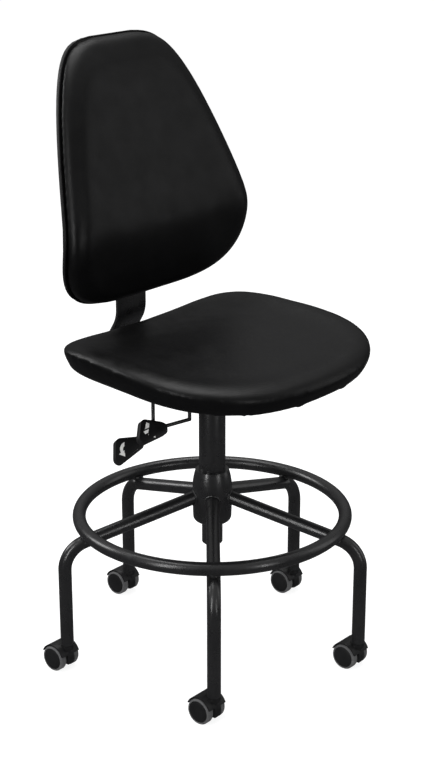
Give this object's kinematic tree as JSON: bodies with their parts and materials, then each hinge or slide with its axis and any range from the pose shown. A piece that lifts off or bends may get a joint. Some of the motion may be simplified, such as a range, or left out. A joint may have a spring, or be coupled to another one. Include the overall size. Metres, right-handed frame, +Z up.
{
  "type": "drafting chair",
  "caption": "Tall drafting chair: padded seat and back on a gas lift, bent-tube legs with a footring and twin-wheel casters.",
  "frame": {"origin": "on the column's axis at floor level", "axes": "+Z up the column; the sitter faces -Y, and +X is the sitter's left"},
  "size_m": [0.5944, 0.6156, 1.1762],
  "materials": {
    "steel_black": "black powder coat, semi-gloss",
    "steel_bright": "ground and plated",
    "steel_zinc": "zinc plated",
    "plastic_black": "moulded nylon, fine texture",
    "nylon_white": "plain acetal",
    "rubber_black": "plain rubber",
    "tread_grey": "soft grey polyurethane",
    "plywood": "plain birch plywood",
    "vinyl_black": "black vinyl over foam, semi-gloss"
  },
  "bodies": {
    "base": {"hub": "steel_black", "leg_1": "steel_black", "leg_2": "steel_black", "leg_3": "steel_black", "leg_4": "steel_black", "leg_5": "steel_black", "footring": "steel_black", "leg_inserts": "plastic_black", "caster_stems": "steel_bright", "column_tube": "steel_black", "guide_bush": "nylon_white"},
    "lift_rod": {"piston_rod": "steel_bright", "piston": "steel_bright", "thrust_washer": "steel_zinc", "rubber_bumper": "rubber_black", "rod_clip": "steel_zinc"},
    "seat": {"gas_cylinder": "steel_black", "mechanism_housing": "steel_black", "seat_board": "plywood", "seat_cushion": "vinyl_black", "seat_bolts": "steel_zinc", "tee_nuts": "steel_zinc", "back_pivot_pin": "steel_zinc", "lever_pins": "steel_zinc"},
    "valve": {"valve_button": "steel_bright"},
    "height_lever": {"height_lever_rod": "steel_black", "height_paddle": "plastic_black"},
    "back_lever": {"back_lever_rod": "steel_black", "back_paddle": "plastic_black"},
    "back_arm": {"pivot_block": "steel_black", "back_bar": "steel_black", "bar_bolts": "steel_zinc"},
    "backrest": {"back_bracket": "plastic_black", "back_board": "plywood", "back_shell": "plastic_black", "back_cushion": "vinyl_black", "back_screws": "steel_zinc"},
    "knob": {"back_knob": "plastic_black", "knob_stud": "steel_zinc"},
    "caster_1": {"caster_hood_1": "plastic_black"},
    "wheels_1": {"caster_axle_1": "steel_bright", "wheel_discs_1": "plastic_black", "wheel_treads_1": "tread_grey"},
    "caster_2": {"caster_hood_2": "plastic_black"},
    "wheels_2": {"caster_axle_2": "steel_bright", "wheel_discs_2": "plastic_black", "wheel_treads_2": "tread_grey"},
    "caster_3": {"caster_hood_3": "plastic_black"},
    "wheels_3": {"caster_axle_3": "steel_bright", "wheel_discs_3": "plastic_black", "wheel_treads_3": "tread_grey"},
    "caster_4": {"caster_hood_4": "plastic_black"},
    "wheels_4": {"caster_axle_4": "steel_bright", "wheel_discs_4": "plastic_black", "wheel_treads_4": "tread_grey"},
    "caster_5": {"caster_hood_5": "plastic_black"},
    "wheels_5": {"caster_axle_5": "steel_bright", "wheel_discs_5": "plastic_black", "wheel_treads_5": "tread_grey"}
  },
  "joints": [
    {"name": "seat_swivel", "type": "hinge", "parent": "base", "child": "lift_rod", "pos_m": [0, 0, 0.24], "axis": [0, 0, 1], "continuous": true},
    {"name": "seat_height", "type": "slide", "parent": "lift_rod", "child": "seat", "axis": [0, 0, 1], "range_m": [0, 0.18]},
    {"name": "valve_press", "type": "slide", "parent": "seat", "child": "valve", "axis": [0, 0, -1], "range_m": [0, 0.0045], "stiffness_N_per_m": 2000, "springref_m": -0.001},
    {"name": "height_lever_lift", "type": "hinge", "parent": "seat", "child": "height_lever", "pos_m": [-0.024, 0, 0.5695], "axis": [0, 1, 0], "range_deg": [0, 10], "stiffness_Nm_per_rad": 2, "springref_deg": -8.59},
    {"name": "back_lever_lift", "type": "hinge", "parent": "seat", "child": "back_lever", "pos_m": [-0.024, 0.074, 0.5695], "axis": [0, 1, 0], "range_deg": [0, 10], "stiffness_Nm_per_rad": 2, "springref_deg": -11.46},
    {"name": "back_angle", "type": "hinge", "parent": "seat", "child": "back_arm", "pos_m": [0, 0.125, 0.548], "axis": [1, 0, 0], "range_deg": [-15, 5]},
    {"name": "back_height", "type": "slide", "parent": "back_arm", "child": "backrest", "axis": [0, 0, 1], "range_m": [0, 0.07]},
    {"name": "knob_turn", "type": "hinge", "parent": "backrest", "child": "knob", "pos_m": [0, 0.20427, 0.785], "axis": [0, 1, 0], "range_deg": [0, 720]},
    {"name": "caster_swivel_1", "type": "hinge", "parent": "base", "child": "caster_1", "pos_m": [-0.22234, -0.19159, 0.045], "axis": [0, 0, 1], "continuous": true},
    {"name": "wheel_roll_1", "type": "hinge", "parent": "caster_1", "child": "wheels_1", "pos_m": [-0.22234, -0.17358, 0.025], "axis": [1, 0, 0], "continuous": true},
    {"name": "caster_swivel_2", "type": "hinge", "parent": "base", "child": "caster_2", "pos_m": [0.1135, -0.27067, 0.045], "axis": [0, 0, 1], "continuous": true},
    {"name": "wheel_roll_2", "type": "hinge", "parent": "caster_2", "child": "wheels_2", "pos_m": [0.1135, -0.25267, 0.025], "axis": [1, 0, 0], "continuous": true},
    {"name": "caster_swivel_3", "type": "hinge", "parent": "base", "child": "caster_3", "pos_m": [0.29249, 0.0243, 0.045], "axis": [0, 0, 1], "continuous": true},
    {"name": "wheel_roll_3", "type": "hinge", "parent": "caster_3", "child": "wheels_3", "pos_m": [0.29249, 0.0423, 0.025], "axis": [1, 0, 0], "continuous": true},
    {"name": "caster_swivel_4", "type": "hinge", "parent": "base", "child": "caster_4", "pos_m": [0.06727, 0.28569, 0.045], "axis": [0, 0, 1], "continuous": true},
    {"name": "wheel_roll_4", "type": "hinge", "parent": "caster_4", "child": "wheels_4", "pos_m": [0.06727, 0.30369, 0.025], "axis": [1, 0, 0], "continuous": true},
    {"name": "caster_swivel_5", "type": "hinge", "parent": "base", "child": "caster_5", "pos_m": [-0.25092, 0.15226, 0.045], "axis": [0, 0, 1], "continuous": true},
    {"name": "wheel_roll_5", "type": "hinge", "parent": "caster_5", "child": "wheels_5", "pos_m": [-0.25092, 0.17026, 0.025], "axis": [1, 0, 0], "continuous": true}
  ],
  "couplings": [
    {"joint": "valve_press", "follows": "height_lever_lift", "m_per_rad": 0.0235}
  ]
}
